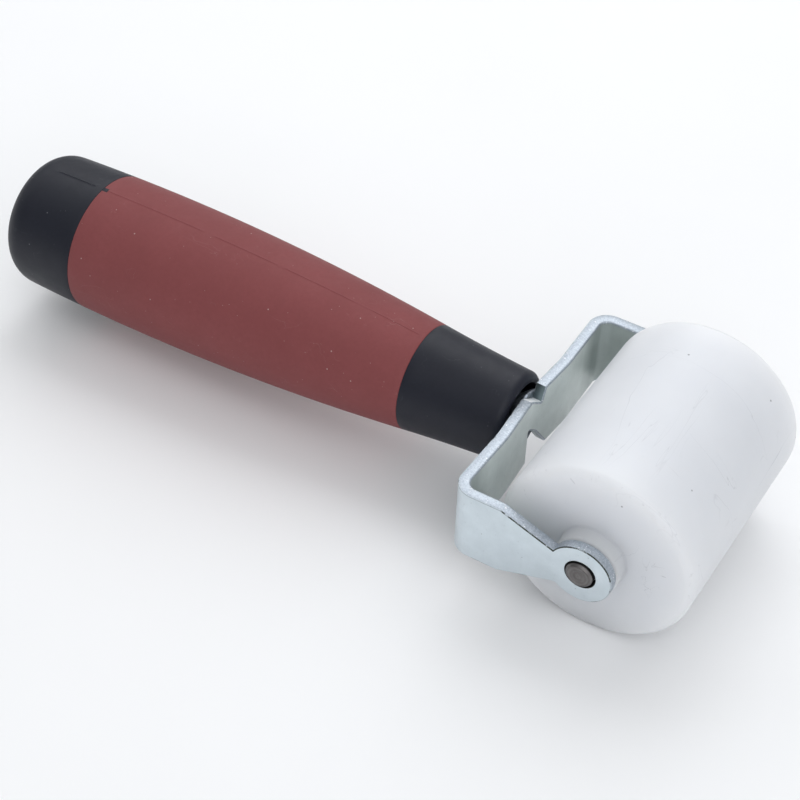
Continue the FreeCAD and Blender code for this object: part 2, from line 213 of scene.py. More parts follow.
def roller_plastic():
    """Milky polyethylene: cloudy, finely scratched, scuffed round the rims, with specks of dirt."""
    finish = Finish(
        "roller_polyethylene",
        IOR=1.5,
        Subsurface_Weight=1.0,
        Subsurface_Radius=(1.0, 0.97, 0.95),
        Subsurface_Scale=18 * MM,
        Specular_IOR_Level=0.4,
    )
    place = finish.place(centre=AXIS)
    clouds = finish.noise(place, 14, detail=3.0)
    tone = finish.blend(clouds, MILK_SHADE, MILK)
    along = finish.place(centre=AXIS, stretch=(1.0, 7.0, 1.0))
    around = finish.place(centre=AXIS, stretch=(6.0, 1.0, 5.0))
    marks = finish.math(
        "MAXIMUM",
        scratches(finish, along, size=5, width=0.006, patch=9),
        scratches(finish, around, size=6, width=0.006, patch=11),
    )
    tone = finish.blend(finish.math("MULTIPLY", marks, 0.5), tone, SCRATCH_GREY)
    rim = finish.rise(finish.reach(place, (1, 0, 1)), start=18.5, end=20.0, span=25)
    sideways = finish.math("ABSOLUTE", finish.axis(place, "Y"))
    ends = finish.rise(sideways, start=23.4, end=24.9, span=30)
    scuffs = finish.steps(
        finish.noise(place, 1.6, detail=5.0, roughness=0.7), (0.6, 0), (0.72, 1)
    )
    scuffs = finish.math("MULTIPLY", scuffs, finish.math("MULTIPLY", rim, ends))
    tone = finish.blend(finish.math("MULTIPLY", scuffs, 0.45), tone, SCUFF_GREY)
    dirt = specks(finish, place, cell=5.2, radius=0.055, share=0.5)
    tone = finish.blend(finish.math("MULTIPLY", dirt, 0.75), tone, DIRT)
    finish.colour(tone)
    finish.gloss(finish.noise(place, 3, detail=4.0), 0.34, 0.52)
    turning = finish.noise(finish.place(centre=AXIS, stretch=(30, 0.35, 30)), 1.0, detail=2.0)
    finish.relief((turning, 0.02, 0.25), (marks, -0.03, 0.5), (clouds, 0.1, 0.15))
    return finish.material


def soft_rubber(name, dark, light, dust_tone, dust_share, sheen, low, high):
    """Moulded grip rubber with a fine grain, a few specks of dust and some lint."""
    finish = Finish(name, Specular_IOR_Level=0.32, Sheen_Weight=sheen, Sheen_Roughness=0.45)
    place = finish.place(centre=AXIS)
    clouds = finish.noise(place, 11, detail=4.0, roughness=0.6)
    tone = finish.blend(clouds, dark, light)
    grain = finish.noise(place, 0.28, detail=3.0, roughness=0.65)
    tone = finish.blend(finish.math("MULTIPLY", grain, 0.18), tone, light)
    large_dust = specks(finish, place, cell=3.1, radius=0.06, share=dust_share)
    small_dust = specks(finish, place, cell=1.3, radius=0.09, share=dust_share * 0.5)
    dust = finish.math("MAXIMUM", large_dust, finish.math("MULTIPLY", small_dust, 0.6))
    along = finish.place(centre=AXIS, stretch=(2.2, 1.2, 1.0))
    lint = scratches(finish, along, size=4.5, width=0.0035, patch=5)
    mottle = finish.steps(
        finish.noise(place, 0.9, detail=4.0, roughness=0.7), (0.35, 0), (0.7, 1)
    )
    tone = finish.blend(finish.math("MULTIPLY", mottle, 0.4), tone, dark)
    pale = finish.math("MAXIMUM", dust, finish.math("MULTIPLY", lint, 0.25))
    tone = finish.blend(finish.math("MULTIPLY", pale, 0.5), tone, dust_tone)
    finish.colour(tone)
    finish.gloss(finish.noise(place, 2.4, detail=5.0), low, high)
    finish.relief((grain, 0.03, 0.4), (clouds, 0.12, 0.2), (dust, 0.05, 0.4))
    return finish.material


def black_rubber():
    return soft_rubber(
        "grip_black_rubber",
        dark=(0.007, 0.008, 0.0145),
        light=(0.0125, 0.0145, 0.025),
        dust_tone=(0.2, 0.2, 0.22),
        dust_share=0.35,
        sheen=0.0,
        low=0.42,
        high=0.58,
    )


def red_rubber():
    return soft_rubber(
        "grip_red_rubber",
        dark=(0.2, 0.05, 0.051),
        light=(0.26, 0.069, 0.071),
        dust_tone=(0.62, 0.5, 0.48),
        dust_share=0.5,
        sheen=0.02,
        low=0.62,
        high=0.8,
    )


def zinc(name, dark, light, low, high, grain_depth, streaks=0.22, metal=0.8, bend_shade=0.0):
    """Zinc plate between two tones: upright streaks, spots and pits, and painted shade darkening it
    near the bends.
    """
    finish = Finish(name, Metallic=metal, Specular_IOR_Level=0.5)
    place = finish.place(centre=AXIS)
    clouds = finish.noise(place, 4.5, detail=5.0, roughness=0.6)
    tone = finish.blend(clouds, dark, light)
    upright = finish.place(centre=AXIS, stretch=(0.5, 0.5, 9.0))
    brushed = finish.noise(upright, 1.0, detail=4.0, roughness=0.6)
    tone = finish.blend(finish.math("MULTIPLY", brushed, streaks), tone, dark)
    spots = finish.steps(
        finish.noise(place, 0.9, detail=4.0, roughness=0.7), (0.62, 0), (0.76, 1)
    )
    tone = finish.blend(finish.math("MULTIPLY", spots, 0.35), tone, ZINC_SPOT)
    # painted shade: darker towards the bends, |y| from 20 to 24.8 mm, as strong as bend_shade
    sideways = finish.math("ABSOLUTE", finish.axis(place, "Y"))
    near_bend_shade = finish.rise(sideways, start=20.0, end=24.8, span=40)
    tone = finish.blend(finish.math("MULTIPLY", near_bend_shade, bend_shade), tone, ZINC_BEND_SHADE)
    pits = specks(finish, place, cell=2.3, radius=0.07, share=0.4)
    tone = finish.blend(finish.math("MULTIPLY", pits, 0.5), tone, ZINC_PIT)
    finish.colour(tone)
    finish.gloss(finish.noise(place, 1.3, detail=5.0), low, high)
    grain = finish.noise(place, 0.22, detail=3.0)
    finish.relief((grain, grain_depth, 0.35), (clouds, 0.12, 0.25), (brushed, 0.02, 0.3))
    return finish.material


def zinc_face():
    return zinc(
        "yoke_zinc_face",
        dark=(0.56, 0.63, 0.67),
        light=(0.76, 0.84, 0.89),
        low=0.3,
        high=0.44,
        grain_depth=0.02,
    )


# lighter, greener copy of the yoke's zinc for the faces towards the roller: painted reflection of
# the roller and the tent, with painted shade near the bends
def zinc_inside_painted_reflection():
    return zinc(
        "yoke_zinc_inside",
        dark=(0.62, 0.68, 0.65),
        light=(0.93, 1.0, 0.97),
        low=0.34,
        high=0.5,
        grain_depth=0.03,
        streaks=0.45,
        metal=0.4,
        bend_shade=0.5,
    )


# near-black zinc for the notch walls that face the handle: painted shade
def notch_wall_painted_shade():
    return zinc(
        "yoke_notch_wall",
        dark=(0.14, 0.19, 0.2),
        light=(0.3, 0.36, 0.37),
        low=0.3,
        high=0.45,
        grain_depth=0.04,
    )


# near-white zinc on the upper notch's slanted floor: a painted highlight
def notch_painted_highlight():
    return zinc(
        "yoke_fresh_cut",
        dark=(0.85, 0.9, 0.92),
        light=PAINTED_GLINT_WHITE,
        low=0.4,
        high=0.55,
        grain_depth=0.03,
        metal=0.3,
    )


# near-black zinc for the bores and their chamfers: painted shade in the gap round the pin
def bore_painted_shade():
    return zinc(
        "yoke_bore_wall",
        dark=(0.03, 0.03, 0.03),
        light=(0.09, 0.09, 0.09),
        low=0.45,
        high=0.6,
        grain_depth=0.04,
    )


def sheared_edge():
    """Thickness of the strip as the shear left it: torn grey metal with nicks and painted white
    glints.
    """
    finish = Finish("yoke_sheared_edge", Metallic=0.55, Specular_IOR_Level=0.6)
    place = finish.place(centre=AXIS)
    torn = finish.noise(place, 0.4, detail=5.0, roughness=0.75)
    ridges = finish.steps(torn, (0.36, 0), (0.62, 1))
    tone = finish.blend(ridges, (0.31, 0.355, 0.41), (0.5, 0.55, 0.6))
    # painted glints: white specks in the base colour
    glints = finish.steps(
        finish.noise(place, 0.55, detail=4.0, roughness=0.8), (0.6, 0), (0.68, 1)
    )
    tone = finish.blend(glints, tone, PAINTED_GLINT_WHITE)
    nicks = finish.steps(
        finish.noise(place, 1.1, detail=5.0, roughness=0.75), (0.66, 0), (0.72, 1)
    )
    tone = finish.blend(finish.math("MULTIPLY", nicks, 0.5), tone, (0.3, 0.33, 0.36))
    finish.colour(tone)
    finish.gloss(torn, 0.25, 0.5)
    finish.relief((torn, 0.06, 0.5), (glints, 0.05, 0.5), (nicks, -0.05, 0.5))
    return finish.material


def burr_shade_line(name, shade_from):
    """Torn rim: pale metal with painted shade, dark where the torn noise passes shade_from."""
    finish = Finish(name, Metallic=0.6, Specular_IOR_Level=0.4)
    place = finish.place(centre=AXIS)
    torn = finish.noise(place, 2.6, detail=5.0, roughness=0.7)
    rim_shade = finish.steps(torn, (shade_from, 0), (shade_from + 0.1, 1))
    finish.colour(finish.blend(rim_shade, (0.5, 0.56, 0.6), (0.05, 0.06, 0.05)))
    finish.gloss(torn, 0.3, 0.55)
    finish.relief((torn, 0.05, 0.5))
    return finish.material


def pin_steel():
    """Bare steel with the fine rings that a lathe tool leaves on the pin's ends."""
    finish = Finish("pin_cut_steel", Metallic=0.9, Specular_IOR_Level=0.5)
    place = finish.place(centre=AXIS)
    clouds = finish.noise(place, 1.4, detail=4.0)
    tone = finish.blend(clouds, (0.12, 0.11, 0.105), (0.25, 0.24, 0.24))
    waver = finish.noise(place, 0.3, detail=2.0)
    radius = finish.reach(place, (1, 0, 1))
    radius = finish.math("ADD", radius, finish.math("MULTIPLY", waver, 0.2))
    turned = finish.math("SINE", finish.math("MULTIPLY", radius, 8.5))
    turned = finish.math("MULTIPLY_ADD", turned, 0.5, 0.5)
    tone = finish.blend(finish.math("MULTIPLY", turned, 0.45), tone, (0.11, 0.1, 0.095))
    finish.colour(tone)
    finish.gloss(waver, 0.3, 0.5)
    finish.relief((turned, 0.04, 0.5), (waver, 0.03, 0.4))
    return finish.material


# dark patches are partly weld scale and partly painted shade for a bead lying in shadow behind the
# web; the shank gets the same
def weld_metal():
    finish = Finish("weld_metal", Metallic=0.75, Specular_IOR_Level=0.5)
    place = finish.place(centre=AXIS)
    clouds = finish.noise(place, 1.2, detail=5.0, roughness=0.65)
    scale_and_shade = finish.steps(clouds, (0.35, 0), (0.65, 1))
    finish.colour(finish.blend(scale_and_shade, (0.04, 0.05, 0.06), (0.34, 0.38, 0.43)))
    finish.gloss(clouds, 0.25, 0.5)
    finish.relief((clouds, 0.15, 0.5))
    return finish.material


def floor_paper():
    finish = Finish("studio_paper", Specular_IOR_Level=0.1)
    place = finish.place()
    pulp = finish.noise(place, 60, detail=4.0)
    finish.colour(finish.blend(pulp, (0.93, 0.93, 0.93), (0.96, 0.96, 0.96)))
    finish.gloss(pulp, 0.85, 0.95)
    return finish.material


# ---------------------------------------------------------------- making meshes


def draw_wire(mesh, corners):
    """Chain of edges through (x, z) corners in the upright plane y = 0; returns its vertices."""
    chain = [mesh.verts.new((x, 0, z)) for x, z in corners]
    for first, second in zip(chain, chain[1:]):
        mesh.edges.new((first, second))
    return chain


def sweep_point(mesh, vertex, centre, degrees, steps):
    """Carry a vertex round a centre, leaving an arc of edges; returns its last vertex."""
    swept = bmesh.ops.spin(
        mesh,
        geom=[vertex],
        cent=(centre[0], 0, centre[1]),
        axis=(0, 1, 0),
        angle=math.radians(degrees),
        steps=steps,
    )
    return [item for item in swept["geom_last"] if isinstance(item, bmesh.types.BMVert)][0]


def add_point(mesh, vertex, point):
    """Extend a chain from a vertex to a new (x, z) point."""
    new = mesh.verts.new((point[0], 0, point[1]))
    mesh.edges.new((vertex, new))
    return new


def round_points(mesh, vertices, radius, segments):
    """Round the corners of a flat outline at some of its vertices."""
    bmesh.ops.bevel(
        mesh,
        geom=vertices,
        offset=radius,
        offset_type="OFFSET",
        affect="VERTICES",
        segments=segments,
        profile=0.5,
        material=-1,
        clamp_overlap=True,
    )


def turn_profile(mesh, steps):
    """Spin the drawn profile a full turn about the X axis and close its poles."""
    bmesh.ops.spin(
        mesh,
        geom=mesh.verts[:] + mesh.edges[:],
        cent=(0, 0, 0),
        axis=(1, 0, 0),
        angle=math.tau,
        steps=steps,
        use_merge=True,
    )
    bmesh.ops.remove_doubles(mesh, verts=mesh.verts[:], dist=MERGE_DISTANCE)
    bmesh.ops.recalc_face_normals(mesh, faces=mesh.faces[:])


def lay_across(mesh):
    """Turn a shape made along X to lie along the roller's axis."""
    quarter = Matrix.Rotation(math.pi / 2, 3, "Z")
    bmesh.ops.rotate(mesh, verts=mesh.verts[:], cent=(0, 0, 0), matrix=quarter)


def make_piece(name, mesh, body, materials, replaced=(), smooth=35):
    """Turn a finished bmesh, drawn about the roller's axis, into a piece on a CAD body."""
    bmesh.ops.translate(mesh, verts=mesh.verts[:], vec=AXIS)
    for face in mesh.faces:
        face.smooth = True
    data = bpy.data.meshes.new(name)
    mesh.to_mesh(data)
    mesh.free()
    data.set_sharp_from_angle(angle=math.radians(smooth))
    for material in materials:
        data.materials.append(material)
    piece = bpy.data.objects.new(name, data)
    bpy.context.scene.collection.objects.link(piece)
    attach(piece, body)
    if replaced:
        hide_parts(*replaced)


# ---------------------------------------------------------------- sizes shared by the pieces

roller_low, roller_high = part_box("roller")
core_low, core_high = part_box("handle_core")
sleeve_low, sleeve_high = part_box("grip_sleeve")
yoke_low, yoke_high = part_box("yoke")
pin_low, pin_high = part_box("axle_pin")

ROLLER_RADIUS = (roller_high.z - roller_low.z) / 2
ROLLER_EDGE_ROUND = 1.8 * MM
HUB_END = roller_high.y
HUB_LENGTH = 3.2 * MM
HUB_RADIUS = 6.9 * MM
HUB_EDGE_ROUND = 0.6 * MM
HUB_ROOT_ROUND = 0.5 * MM
PIN_RADIUS = (pin_high.z - pin_low.z) / 2
PIN_END = pin_high.y
PIN_CHAMFER = 0.45 * MM
PIN_RING_DEPTH = 0.06 * MM
PIN_RING = (0.35 * PIN_RADIUS, 0.4 * PIN_RADIUS, 0.47 * PIN_RADIUS)
BELLY_RADIUS = (core_high.z - core_low.z) / 2
BELLY_ARC = 640 * MM
WAIST_ARC = 450 * MM
BELLY_CENTRE = (core_low.x + 31 * MM, BELLY_RADIUS - BELLY_ARC)
SLEEVE_THICKNESS = 2.2 * MM
BUTT_ROUND = 5.6 * MM
SHOULDER_LENGTH = 0.7 * MM
LIP_ROUND = 1.6 * MM
MOUTH_RADIUS = 7.8 * MM
MOUTH_DEPTH = 4.0 * MM
MOUTH_ROUND = 0.9 * MM
SOCKET_RADIUS = 4.0 * MM
SOCKET_DEPTH = 68.0 * MM
SEAM_ROUND = 0.14 * MM  # edges where red and black rubber meet
WELD_BACK = yoke_low.x - 2.9 * MM
WELD_FRONT = WELD_BACK + 3.4 * MM
WELD_INNER = 3.8 * MM
WELD_ROUND = 0.7 * MM
WELD_RIPPLES = 11
RIPPLE_HEIGHT = 0.22 * MM
LUMP_HEIGHT = 0.38 * MM
LUMP_SIZE = 1.7 * MM


def belly_point(x, depth=0.0):
    """Point of the handle's belly arc, or of a lower arc about the same centre."""
    return (x, BELLY_CENTRE[1] + math.sqrt((BELLY_ARC - depth) ** 2 - (x - BELLY_CENTRE[0]) ** 2))


def turn_between(centre, start, end):
    """Degrees that carry start to end about centre, for sweep_point."""
    angles = [math.atan2(point[1] - centre[1], point[0] - centre[0]) for point in (start, end)]
    return math.degrees(angles[0] - angles[1])


# ---------------------------------------------------------------- roller and pin


def draw_spool(mesh, half):
    """Profile of a spool from its half, given from one end to the middle; returns its vertices."""
    return draw_wire(mesh, [(-x, z) for x, z in half] + half[::-1])


def make_roller(material):
    mesh = bmesh.new()
    face = HUB_END - HUB_LENGTH
    half = [
        (HUB_END, PIN_RADIUS),
        (HUB_END, HUB_RADIUS),
        (face, HUB_RADIUS),
        (face, ROLLER_RADIUS),
    ]
    chain = draw_spool(mesh, half)
    mesh.edges.new((chain[-1], chain[0]))
    hub_edges, hub_roots, roller_edges = ([chain[i], chain[-1 - i]] for i in (1, 2, 3))
    round_points(mesh, roller_edges, ROLLER_EDGE_ROUND, 8)
    round_points(mesh, hub_edges, HUB_EDGE_ROUND, 4)
    round_points(mesh, hub_roots, HUB_ROOT_ROUND, 3)
    turn_profile(mesh, steps=160)
    lay_across(mesh)
    make_piece("roller_body", mesh, "roller_set", [material], ["roller"])


def make_pin(material):
    """Turned pin: a shallow ring in each end, chamfered where it stands out of the eyes."""
    mesh = bmesh.new()
    inner, middle, outer = PIN_RING
    half = [
        (PIN_END, 0),
        (PIN_END, inner),
        (PIN_END - PIN_RING_DEPTH, middle),
        (PIN_END, outer),
        (PIN_END, PIN_RADIUS - PIN_CHAMFER),
        (PIN_END - PIN_CHAMFER, PIN_RADIUS),
    ]
    draw_spool(mesh, half)
    turn_profile(mesh, steps=64)
    lay_across(mesh)
    make_piece(
        "axle_pin_turned", mesh, "roller_set", [material], ["axle_pin"], smooth=25
    )


# ---------------------------------------------------------------- handle

PARTING_ANGLE = math.radians(4)
PARTING_WIDTH = 0.16 * MM
PARTING_HEIGHT = 0.1 * MM
PARTING_INNER = 9.5 * MM  # nothing nearer the handle's middle is raised
ON_PLANE = 1e-7
CAP_LINE_START = 7.0 * MM
CAP_LINE_MARGIN = 0.4 * MM
SLEEVE_LINE_MARGIN = 0.3 * MM
NICK_LENGTH = 1.45 * MM
NICK_WIDTH = 1.1 * MM
NICK_DEPTH = 0.5 * MM


def raise_parting_line(mesh, low, high):
    """Turn the mesh to the mould's parting plane and lift a fine ridge there, from low to high."""
    tilt = Matrix.Rotation(PARTING_ANGLE, 3, "X")
    bmesh.ops.rotate(mesh, verts=mesh.verts[:], cent=(0, 0, 0), matrix=tilt)
    plane = Vector((0, -math.sin(PARTING_ANGLE), math.cos(PARTING_ANGLE)))

    def on_line(vertex):
        x = vertex.co.x
        radial = Vector((0, vertex.co.y, vertex.co.z))
        outside = x > sleeve_high.x or radial.length > belly_point(x, SLEEVE_THICKNESS / 2)[1]
        if not outside or radial.length < PARTING_INNER:
            return False
        return abs(abs(radial.normalized().dot(plane)) - 1) < ON_PLANE and low < x < high

    bmesh.ops.bevel(
        mesh,
        geom=[edge for edge in mesh.edges if all(on_line(vertex) for vertex in edge.verts)],
        offset=PARTING_WIDTH,
        offset_type="OFFSET",
        affect="EDGES",
        segments=2,
        profile=0.5,
        material=-1,
    )
    for vertex in mesh.verts:
        if on_line(vertex):
            vertex.co += Vector((0, vertex.co.y, vertex.co.z)).normalized() * PARTING_HEIGHT


def make_handle_core(material):
    """Black core: butt cap, sunk seat for the sleeve, nose, rolled lip and the shank's socket."""
    mesh = bmesh.new()
    butt = core_low.x
    front = core_high.x
    back_seat = sleeve_low.x
    front_seat = sleeve_high.x
    rim = belly_point(butt)
    blend = belly_point(front_seat)
    ratio = WAIST_ARC / BELLY_ARC
    waist_centre = tuple(
        point + (point - centre) * ratio for point, centre in zip(blend, BELLY_CENTRE)
    )
    lip = (front, waist_centre[1] - math.sqrt(WAIST_ARC**2 - (waist_centre[0] - front) ** 2))
    floor_back = belly_point(back_seat, SLEEVE_THICKNESS)
    floor_front = belly_point(front_seat, SLEEVE_THICKNESS)

    shoulder = belly_point(butt + BUTT_ROUND + SHOULDER_LENGTH)
    middle, butt_rim, point = draw_wire(mesh, [(butt, 0), rim, shoulder])
    turn = turn_between(BELLY_CENTRE, shoulder, belly_point(back_seat))
    cap_edge = sweep_point(mesh, point, BELLY_CENTRE, turn, 7)
    point = add_point(mesh, cap_edge, floor_back)
    turn = turn_between(BELLY_CENTRE, floor_back, floor_front)
    point = sweep_point(mesh, point, BELLY_CENTRE, turn, 24)
    nose_edge = add_point(mesh, point, blend)
    turn = turn_between(waist_centre, blend, lip)
    front_lip = sweep_point(mesh, nose_edge, waist_centre, turn, 12)
    inner_lip = add_point(mesh, front_lip, (front, MOUTH_RADIUS))
    point = add_point(mesh, inner_lip, (front - MOUTH_DEPTH, MOUTH_RADIUS))
    point = add_point(mesh, point, (front - MOUTH_DEPTH, SOCKET_RADIUS))
    point = add_point(mesh, point, (front - SOCKET_DEPTH, SOCKET_RADIUS))
    add_point(mesh, point, (front - SOCKET_DEPTH, 0))
    round_points(mesh, [butt_rim], BUTT_ROUND, 14)
    round_points(mesh, [front_lip], LIP_ROUND, 6)
    round_points(mesh, [inner_lip], MOUTH_ROUND, 4)
    round_points(mesh, [cap_edge, nose_edge], SEAM_ROUND, 2)
    turn_profile(mesh, steps=160)
    raise_parting_line(mesh, butt + CAP_LINE_START, back_seat - CAP_LINE_MARGIN)
    make_piece(
        "handle_core_moulded", mesh, "frame", [material], ["handle_core"]
    )


def make_sleeve(red, black):
    """Red over-moulded sleeve; black shows through in a nick where the parting line starts."""
    mesh = bmesh.new()
    back, front = sleeve_low.x, sleeve_high.x
    outer_back, outer_front = belly_point(back), belly_point(front)
    inner_back, inner_front = (belly_point(x, SLEEVE_THICKNESS) for x in (back, front))
    start = mesh.verts.new((outer_back[0], 0, outer_back[1]))
    turn = turn_between(BELLY_CENTRE, outer_back, outer_front)
    far = sweep_point(mesh, start, BELLY_CENTRE, turn, 60)
    corner = add_point(mesh, far, inner_front)
    turn = turn_between(BELLY_CENTRE, inner_front, inner_back)
    near = sweep_point(mesh, corner, BELLY_CENTRE, turn, 24)
    mesh.edges.new((near, start))
    round_points(mesh, [start, far], SEAM_ROUND, 2)
    turn_profile(mesh, steps=180)
    raise_parting_line(mesh, back + SLEEVE_LINE_MARGIN, front - SLEEVE_LINE_MARGIN)
    nick_floor = belly_point(back, NICK_DEPTH)[1]
    for face in mesh.faces:
        middle = face.calc_center_median()
        across = abs(middle.y + math.tan(PARTING_ANGLE) * middle.z)
        near_end = middle.x < back + NICK_LENGTH
        if near_end and across < NICK_WIDTH / 2 and middle.z > nick_floor:
            face.material_index = 1
    make_piece(
        "grip_sleeve_moulded", mesh, "frame", [red, black], ["grip_sleeve"]
    )


def make_weld(material):
    """Lumpy bead of weld where the shank meets the back of the yoke."""
    mesh = bmesh.new()
    section = [
        (WELD_FRONT, WELD_INNER),
        (WELD_FRONT, 6.9 * MM),
        (WELD_FRONT - 0.9 * MM, 6.6 * MM),
        (WELD_BACK, 4.3 * MM),
        (WELD_BACK, WELD_INNER),
    ]
    chain = draw_wire(mesh, section)
    mesh.edges.new((chain[-1], chain[0]))
    round_points(mesh, chain[2:4], WELD_ROUND, 5)
    turn_profile(mesh, steps=120)
    for vertex in mesh.verts:
        radial = Vector((0, vertex.co.y, vertex.co.z))
        if radial.length > WELD_INNER + 0.2 * MM:
            turned = WELD_RIPPLES * math.atan2(radial.z, radial.y) + vertex.co.x / MM
            ripple = 0.5 + 0.5 * math.cos(turned)
            lump = noise.noise(vertex.co / LUMP_SIZE)
            lift = RIPPLE_HEIGHT * ripple + LUMP_HEIGHT * lump
            vertex.co += radial.normalized() * lift
    bmesh.ops.smooth_vert(
        mesh, verts=mesh.verts[:], factor=0.3, use_axis_x=True, use_axis_y=True, use_axis_z=True
    )
    make_piece("weld_bead", mesh, "frame", [material], smooth=60)


# ---------------------------------------------------------------- yoke

SHEET = 2.4 * MM
STRIP_TOP = yoke_high.z - AXIS_HEIGHT
STRIP_BOTTOM = yoke_low.z - AXIS_HEIGHT
EYE_RADIUS = yoke_high.x
ARM_PLACE = yoke_high.y - SHEET / 2
CREST_PLACE = 13 * MM
TROUGH_SLOPE = math.atan2(0.9, 13)
CREST_SLOPE = math.atan2(0.5, 18.4)
TROUGH_ROUND = 14 * MM
CREST_ROUND = 24 * MM
BEND_ROUND = 2.1 * MM + SHEET / 2
TAPER_START = 17.5 * MM
NECK_TOP = 3.2 * MM
NECK_BOTTOM = -4.8 * MM
BORE_RADIUS = 3.25 * MM
BORE_SHIFT = 0.18 * MM
WEB_MIDDLE = yoke_low.x + SHEET / 2
BEYOND_EYE = 100 * MM
# corners of the notches in the strip's edges, in millimetres from the web's middle and the edge
UPPER_NOTCH = ((-1.9, 0), (2.7, -3.3), (3.9, 0))
LOWER_NOTCH = ((-2.6, 0), (-2.6, 9.3), (1.2, 6.2), (5.6, 0))
NOTCH_REACH = 5.4 * MM
NOTCH_HEIGHT = 3.2 * MM
UPPER_NOTCH_ROUND = 0.35 * MM
LOWER_NOTCH_ROUND = 0.8 * MM
NECK_ROUND = 0.9 * MM
CORNER_SPACING = math.radians(5)
WAVE_SPACING = math.radians(0.8)
TORN_FROM = 1.5 * MM
INNER_ROLL = 0.4 * MM
BURR_WIDTH = 0.2 * MM
BORE_CHAMFER = 0.1 * MM
# the yoke's material slots, in the order that make_yoke is given them
FACE, EDGE, BURR, BORE, INSIDE, SHADE, NOTCH_HIGHLIGHT, TORN = range(8)


def strip_runs():
    """(length, turn) of each run of the strip's middle line, from the web's middle to the eye."""
    bend_turn = math.pi / 2 + CREST_SLOPE
    trough = TROUGH_ROUND * TROUGH_SLOPE
    crest = CREST_ROUND * (TROUGH_SLOPE + CREST_SLOPE)
    bend_reach = BEND_ROUND * math.tan(bend_turn / 2)
    inner = CREST_PLACE / math.cos(TROUGH_SLOPE) - TROUGH_ROUND * math.tan(TROUGH_SLOPE)
    outer = (ARM_PLACE - CREST_PLACE) / math.cos(CREST_SLOPE) - bend_reach
    tangent = CREST_ROUND * math.tan((TROUGH_SLOPE + CREST_SLOPE) / 2)
    return [
        (trough, TROUGH_SLOPE),
        (inner - tangent, 0),
        (crest, -TROUGH_SLOPE - CREST_SLOPE),
        (outer - tangent, 0),
        (BEND_ROUND * bend_turn, bend_turn),
        (BEYOND_EYE, 0),
    ]


def strip_place(distance):
    """Place, as (x, y), and heading of the strip at a distance from the web's middle."""
    place = Vector((WEB_MIDDLE, 0))
    heading = 0.0
    left = distance
    for length, turn in strip_runs():
        part = min(left, length)
        share = part / length
        if turn:
            radius = length / turn
            centre = place + radius * Vector((math.cos(heading), -math.sin(heading)))
            heading += turn * share
            place = centre - radius * Vector((math.cos(heading), -math.sin(heading)))
        else:
            place = place + part * Vector((math.sin(heading), math.cos(heading)))
        left -= part
        if left <= 0:
            break
    return place, heading


def arm_distance(x):
    """Distance along the strip, from the web's middle, of a place x on an arm."""
    bent = sum(length for length, turn in strip_runs()[:-1])
    return bent + x - strip_place(bent)[0].x


def bend_strip(mesh):
    """Bend the flat blank: x runs along it, z across it and y through its thickness."""
    for vertex in mesh.verts:
        along, through, across = vertex.co
        place, heading = strip_place(abs(along))
        outward = Vector((-math.cos(heading), math.sin(heading)))
        place = place + outward * through
        vertex.co = (place.x, math.copysign(place.y, along) if along else 0, across)


def draw_notch(mesh, start, end, level, corners):
    """Edge of the blank from start to end, cut by a notch; returns the notch's inner corners."""
    chain = [start]
    for x, z in corners:
        chain.append(add_point(mesh, chain[-1], (x * MM, level + z * MM)))
    mesh.edges.new((chain[-1], end))
    return chain[2:-1]


def draw_blank(mesh, tip, taper):
    """Flat blank of the yoke: two eyes at the tips, tapered arms, notches, and the eyes' bores."""
    upper = math.sqrt(EYE_RADIUS**2 - NECK_TOP**2)
    lower = math.sqrt(EYE_RADIUS**2 - NECK_BOTTOM**2)
    arms = []
    for side in (-1, 1):
        top = mesh.verts.new((side * taper, 0, STRIP_TOP))
        neck = add_point(mesh, top, (side * (tip - upper), NECK_TOP))
        sweep = turn_between((tip, 0), (tip - upper, NECK_TOP), (tip - lower, NECK_BOTTOM)) % 360
        under = sweep_point(mesh, neck, (side * tip, 0), side * sweep, 44)
        bottom = add_point(mesh, under, (side * taper, STRIP_BOTTOM))
        arms.append((top, under, bottom))
    tops, unders, bottoms = zip(*arms)
    slanted = draw_notch(mesh, *tops, STRIP_TOP, UPPER_NOTCH)
    rounded = draw_notch(mesh, *bottoms, STRIP_BOTTOM, LOWER_NOTCH)
    round_points(mesh, rounded, LOWER_NOTCH_ROUND, 4)
    round_points(mesh, slanted, UPPER_NOTCH_ROUND, 2)
    round_points(mesh, list(unders), NECK_ROUND, 4)
    bmesh.ops.remove_doubles(mesh, verts=mesh.verts[:], dist=MERGE_DISTANCE)
    for side in (-1, 1):
        centre = Matrix.Translation((side * (tip + BORE_SHIFT), 0, BORE_SHIFT))
        bmesh.ops.create_circle(
            mesh,
            cap_ends=False,
            segments=48,
            radius=BORE_RADIUS,
            matrix=centre @ Matrix.Rotation(math.pi / 2, 4, "X"),
        )
    bmesh.ops.triangle_fill(
        mesh, use_beauty=True, use_dissolve=False, edges=mesh.edges[:], normal=(0, 1, 0)
    )
    bmesh.ops.dissolve_limit(
        mesh,
        angle_limit=0.01,
        verts=mesh.verts[:],
        edges=mesh.edges[:],
        use_dissolve_boundaries=False,
    )


def cut_blank(mesh):
    """Cross cuts where the blank will bend, close together in the tight corners."""
    places = [0.0]
    travelled = 0.0
    for length, turn in strip_runs()[:-1]:
        spacing = CORNER_SPACING if abs(turn) > 1 else WAVE_SPACING
        cuts = max(1, round(abs(turn) / spacing))
        places += [travelled + length * (step + 1) / cuts for step in range(cuts)]
        travelled += length
    for place in sorted({side * place for place in places for side in (-1, 1)}):
        bmesh.ops.bisect_plane(
            mesh,
            geom=mesh.verts[:] + mesh.edges[:] + mesh.faces[:],
            dist=0.005 * MM,
            plane_co=(place, 0, 0),
            plane_no=(1, 0, 0),
        )


